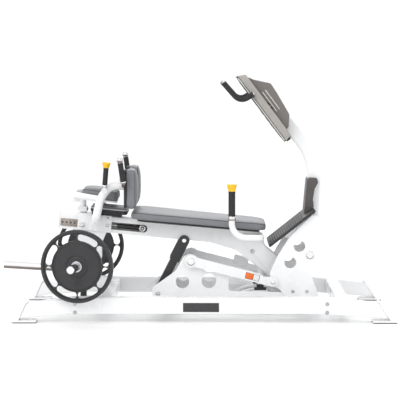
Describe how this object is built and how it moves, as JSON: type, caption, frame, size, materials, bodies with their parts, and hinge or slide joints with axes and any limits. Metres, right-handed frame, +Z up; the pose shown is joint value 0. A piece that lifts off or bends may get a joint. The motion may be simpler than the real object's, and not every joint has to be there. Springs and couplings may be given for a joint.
{
  "type": "leg press machine",
  "caption": "Plate-loaded leg press with a sliding padded bench on a rocker and rollers, a fixed foot plate, a reading console and shoulder pads.",
  "frame": {"origin": "centre of the footprint on the floor", "axes": "+X along the machine from the weight horns to the foot plate and console, +Z up, -Y is the side with the right lever"},
  "size_m": [2.4703, 1.4058, 1.5124],
  "materials": {
    "frame_white": "gloss white powder coat",
    "chrome": "polished chrome plate",
    "dark_cover": "dark grey textured cover",
    "rocker_black": "satin black powder coat",
    "rubber": "black rubber",
    "grey_vinyl": "grey grained vinyl",
    "pad_board": "dark moulded backing",
    "console_grey": "grey moulded plastic",
    "console_black": "dark face panel",
    "grip_black": "black grip",
    "cap_yellow": "yellow cap",
    "disc_black": "black coated iron"
  },
  "bodies": {
    "base": {"base_rail_near": "frame_white", "base_rail_far": "frame_white", "rail_feet": "frame_white", "rubber_feet": "rubber", "cross_tubes": "frame_white", "rear_bracket_near": "frame_white", "rear_bracket_far": "frame_white", "upright_plate_near": "frame_white", "upright_plate_far": "frame_white", "tie_bar_near": "frame_white", "tie_bar_far": "frame_white", "through_axles": "chrome", "roller_track": "frame_white", "track_supports": "frame_white", "rubber_bumpers": "rubber", "post": "frame_white", "upright_braces": "frame_white", "post_shroud": "dark_cover", "foot_plate": "dark_cover", "foot_plate_tread": "dark_cover", "console_face": "console_black", "console_frame": "console_grey", "console_housing": "console_grey", "console_handles": "chrome", "handle_grips": "grip_black"},
    "rocker": {"rocker_link": "rocker_black", "bench_pivot_pin": "chrome"},
    "bench": {"bench_beam": "frame_white", "beam_end_cap": "frame_white", "index_strip": "rocker_black", "nose_gussets": "frame_white", "roller_axle": "chrome", "stop_bar": "frame_white", "horn_bracket": "frame_white", "weight_horns": "chrome", "seat_board": "pad_board", "seat_pad": "grey_vinyl", "gas_cylinder": "rocker_black"},
    "roller_near": {"track_roller_near": "rubber"},
    "roller_far": {"track_roller_far": "rubber"},
    "disc_near": {"weight_disc_near": "disc_black"},
    "disc_far": {"weight_disc_far": "disc_black"},
    "carriage": {"carriage_saddle": "frame_white", "gas_rod": "chrome", "ring_tube": "frame_white", "shoulder_arms": "frame_white", "headrest_stem": "frame_white", "headrest_pad": "grey_vinyl", "back_pad": "grey_vinyl", "pad_boards": "pad_board", "shoulder_pads": "grey_vinyl", "shoulder_handles": "chrome", "shoulder_grips": "grip_black"},
    "lock_pin": {"lock_pin": "chrome"},
    "right_lever": {"right_lever_tube": "frame_white", "right_lever_grip": "grip_black", "right_lever_cap": "cap_yellow"},
    "left_lever": {"left_lever_post": "chrome", "left_lever_grip": "grip_black", "left_lever_cap": "cap_yellow"}
  },
  "joints": [
    {"name": "rocker_swing", "type": "hinge", "parent": "base", "child": "rocker", "pos_m": [-0.239, 0, 0.138], "axis": [0, -1, 0], "range_deg": [0, 50]},
    {"name": "bench_tilt", "type": "hinge", "parent": "rocker", "child": "bench", "pos_m": [-0.075, 0, 0.458], "axis": [0, -1, 0], "range_deg": [-50, 0]},
    {"name": "roller_near_spin", "type": "hinge", "parent": "bench", "child": "roller_near", "pos_m": [0.573, -0.084, 0.155], "axis": [0, 1, 0], "continuous": true},
    {"name": "roller_far_spin", "type": "hinge", "parent": "bench", "child": "roller_far", "pos_m": [0.573, 0.084, 0.155], "axis": [0, 1, 0], "continuous": true},
    {"name": "disc_near_spin", "type": "hinge", "parent": "bench", "child": "disc_near", "pos_m": [-0.717, -0.524, 0.355], "axis": [-0.1392, -0.9903, 0], "continuous": true},
    {"name": "disc_far_spin", "type": "hinge", "parent": "bench", "child": "disc_far", "pos_m": [-0.717, 0.524, 0.355], "axis": [-0.1392, 0.9903, 0], "continuous": true},
    {"name": "carriage_slide", "type": "slide", "parent": "bench", "child": "carriage", "axis": [-0.9956, 0, 0.0932], "range_m": [0, 0.1016]},
    {"name": "lock_pin_travel", "type": "slide", "parent": "carriage", "child": "lock_pin", "axis": [0, 1, 0], "range_m": [0, 0.008]},
    {"name": "right_lever_lift", "type": "hinge", "parent": "bench", "child": "right_lever", "pos_m": [0.41, -0.28, 0.482], "axis": [0, 1, 0], "range_deg": [0, 10]},
    {"name": "left_lever_pull", "type": "hinge", "parent": "carriage", "child": "left_lever", "pos_m": [-0.57, -0.223, 0.79], "axis": [0, -1, 0], "range_deg": [0, 15]}
  ],
  "couplings": [
    {"joint": "bench_tilt", "follows": "rocker_swing", "ratio": -1}
  ]
}
